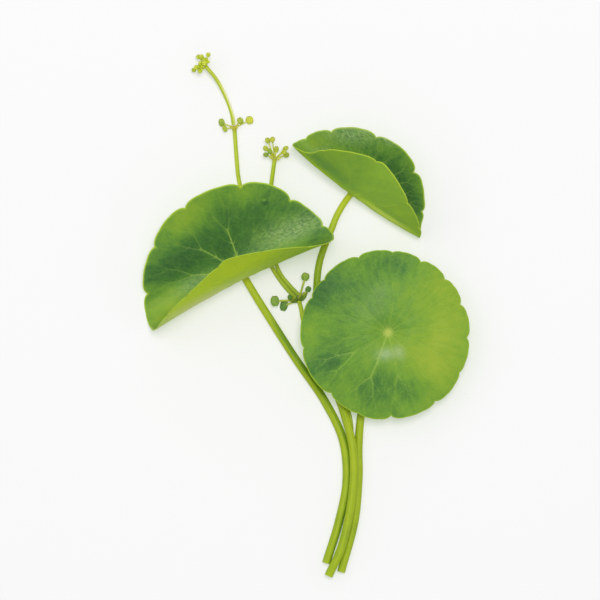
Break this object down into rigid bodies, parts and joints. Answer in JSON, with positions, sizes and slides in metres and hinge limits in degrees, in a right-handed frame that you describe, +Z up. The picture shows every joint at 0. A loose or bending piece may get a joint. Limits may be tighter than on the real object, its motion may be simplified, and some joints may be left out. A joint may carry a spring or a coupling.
{
  "type": "pennywort sprig",
  "caption": "Sprig of fresh pennywort laid flat: round scalloped leaves, some folded along the middle, on long stalks, with a branched flower stalk bearing flat fruits and a flower head",
  "frame": {"origin": "On the surface the sprig lies on, below the middle of its box", "axes": "+Z up from the surface, +Y along the sprig from the cut ends to the flower head, +X to the right seen from above"},
  "size_m": [0.0909, 0.1464, 0.0311],
  "materials": {
    "leaf": "satin green leaf with pale veins",
    "leaf_stalk": "satin yellow-green, finely ridged lengthwise",
    "flower_stalk": "satin pale yellow-green",
    "fruit": "satin green",
    "floret": "soft pale yellow-green"
  },
  "bodies": {
    "root": {"left_leaf": "leaf", "right_leaf": "leaf", "round_leaf": "leaf", "left_leaf_stalk": "leaf_stalk", "right_leaf_stalk": "leaf_stalk", "round_leaf_stalk": "leaf_stalk", "flower_stalk": "flower_stalk", "long_ray_lower": "flower_stalk", "long_ray_upper": "flower_stalk", "short_ray": "flower_stalk", "lower_fruit_1": "fruit", "lower_fruit_2": "fruit", "lower_fruit_3": "fruit", "lower_fruit_4": "fruit", "lower_fruit_5": "fruit", "upper_fruit_1": "fruit", "upper_fruit_2": "fruit", "upper_fruit_3": "fruit", "upper_fruit_4": "fruit", "head_fruit_1": "fruit", "head_fruit_2": "fruit", "head_fruit_3": "fruit", "head_fruit_4": "fruit", "head_fruit_5": "fruit", "head_fruit_6": "fruit", "head_fruit_7": "fruit", "head_fruit_8": "fruit", "head_fruit_9": "fruit", "floret_1": "floret", "floret_2": "floret", "floret_3": "floret", "floret_4": "floret", "floret_5": "floret", "floret_6": "floret", "floret_7": "floret", "floret_8": "floret", "floret_9": "floret", "floret_10": "floret", "floret_11": "floret", "floret_12": "floret"}
  },
  "joints": []
}
